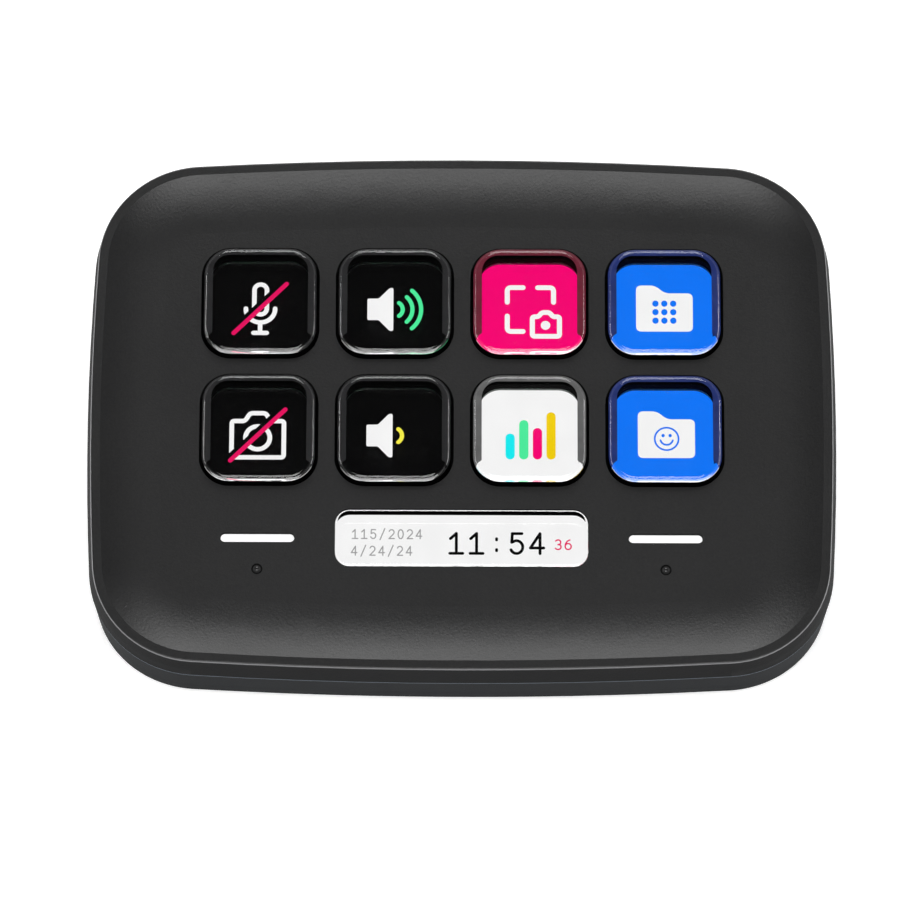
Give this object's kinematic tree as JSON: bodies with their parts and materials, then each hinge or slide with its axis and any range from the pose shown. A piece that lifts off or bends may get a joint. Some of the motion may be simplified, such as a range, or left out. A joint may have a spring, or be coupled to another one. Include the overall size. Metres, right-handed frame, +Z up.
{
  "type": "display key macro keypad",
  "caption": "Sloping desk keypad with clear display keys over one panel, an info window, touch points and a rear USB-C socket.",
  "frame": {"origin": "centre of the case footprint on the table", "axes": "+X to the user's right along the width, +Y away from the user, +Z up"},
  "size_m": [0.107, 0.08, 0.0266],
  "materials": {
    "face_plastic": "fine matt charcoal",
    "rear_plastic": "fine matt charcoal",
    "clear_plastic": "clear and polished",
    "light_guide": "milky, lit from behind",
    "carrier_plastic": "matt black",
    "silicone": "translucent silicone",
    "conductive_foam": "soft foam",
    "circuit_board": "solder mask",
    "screw_steel": "zinc plated",
    "led": "moulded lens",
    "black_tape": "adhesive tape",
    "display_glass": "polished display glass",
    "backlight": "white light guide",
    "tray_steel": "stamped sheet",
    "flex": "polyimide film",
    "chip": "moulded epoxy",
    "capacitor": "fired ceramic",
    "connector": "moulded nylon",
    "socket_steel": "nickel plated",
    "ballast_steel": "zinc plated sheet",
    "insert_brass": "knurled",
    "foot_rubber": "matt rubber"
  },
  "bodies": {
    "case": {"front_shell": "face_plastic", "rear_shell": "rear_plastic", "info_window": "clear_plastic", "left_light_bar": "light_guide", "right_light_bar": "light_guide", "left_touch_pad": "conductive_foam", "right_touch_pad": "conductive_foam", "key_board": "circuit_board", "key_board_screws": "screw_steel", "status_leds": "led", "display_tape": "black_tape", "display_cell": "display_glass", "display_backlight": "backlight", "display_tray": "tray_steel", "display_flex": "flex", "main_board": "circuit_board", "main_board_screws": "screw_steel", "controller_chip": "chip", "memory_chip": "chip", "board_capacitors": "capacitor", "flex_connector": "connector", "link_plug": "connector", "link_socket": "connector", "usb_socket_shell": "socket_steel", "usb_socket_tongue": "chip", "ballast_plate": "ballast_steel", "case_screws": "screw_steel", "case_inserts": "insert_brass", "front_foot": "foot_rubber", "rear_foot": "foot_rubber", "key_dome_1": "silicone", "key_dome_2": "silicone", "key_dome_3": "silicone", "key_dome_4": "silicone", "key_dome_5": "silicone", "key_dome_6": "silicone", "key_dome_7": "silicone", "key_dome_8": "silicone"},
    "key_1": {"key_cap_1": "clear_plastic", "key_carrier_1": "carrier_plastic"},
    "key_2": {"key_cap_2": "clear_plastic", "key_carrier_2": "carrier_plastic"},
    "key_3": {"key_cap_3": "clear_plastic", "key_carrier_3": "carrier_plastic"},
    "key_4": {"key_cap_4": "clear_plastic", "key_carrier_4": "carrier_plastic"},
    "key_5": {"key_cap_5": "clear_plastic", "key_carrier_5": "carrier_plastic"},
    "key_6": {"key_cap_6": "clear_plastic", "key_carrier_6": "carrier_plastic"},
    "key_7": {"key_cap_7": "clear_plastic", "key_carrier_7": "carrier_plastic"},
    "key_8": {"key_cap_8": "clear_plastic", "key_carrier_8": "carrier_plastic"}
  },
  "joints": [
    {"name": "key_press_1", "type": "slide", "parent": "case", "child": "key_1", "axis": [0, 0.1736, -0.9848], "range_m": [0, 0.0009], "stiffness_N_per_m": 500, "springref_m": -0.0005, "deforming": ["key_dome_1"]},
    {"name": "key_press_2", "type": "slide", "parent": "case", "child": "key_2", "axis": [0, 0.1736, -0.9848], "range_m": [0, 0.0009], "stiffness_N_per_m": 500, "springref_m": -0.0005, "deforming": ["key_dome_2"]},
    {"name": "key_press_3", "type": "slide", "parent": "case", "child": "key_3", "axis": [0, 0.1736, -0.9848], "range_m": [0, 0.0009], "stiffness_N_per_m": 500, "springref_m": -0.0005, "deforming": ["key_dome_3"]},
    {"name": "key_press_4", "type": "slide", "parent": "case", "child": "key_4", "axis": [0, 0.1736, -0.9848], "range_m": [0, 0.0009], "stiffness_N_per_m": 500, "springref_m": -0.0005, "deforming": ["key_dome_4"]},
    {"name": "key_press_5", "type": "slide", "parent": "case", "child": "key_5", "axis": [0, 0.1736, -0.9848], "range_m": [0, 0.0009], "stiffness_N_per_m": 500, "springref_m": -0.0005, "deforming": ["key_dome_5"]},
    {"name": "key_press_6", "type": "slide", "parent": "case", "child": "key_6", "axis": [0, 0.1736, -0.9848], "range_m": [0, 0.0009], "stiffness_N_per_m": 500, "springref_m": -0.0005, "deforming": ["key_dome_6"]},
    {"name": "key_press_7", "type": "slide", "parent": "case", "child": "key_7", "axis": [0, 0.1736, -0.9848], "range_m": [0, 0.0009], "stiffness_N_per_m": 500, "springref_m": -0.0005, "deforming": ["key_dome_7"]},
    {"name": "key_press_8", "type": "slide", "parent": "case", "child": "key_8", "axis": [0, 0.1736, -0.9848], "range_m": [0, 0.0009], "stiffness_N_per_m": 500, "springref_m": -0.0005, "deforming": ["key_dome_8"]}
  ]
}
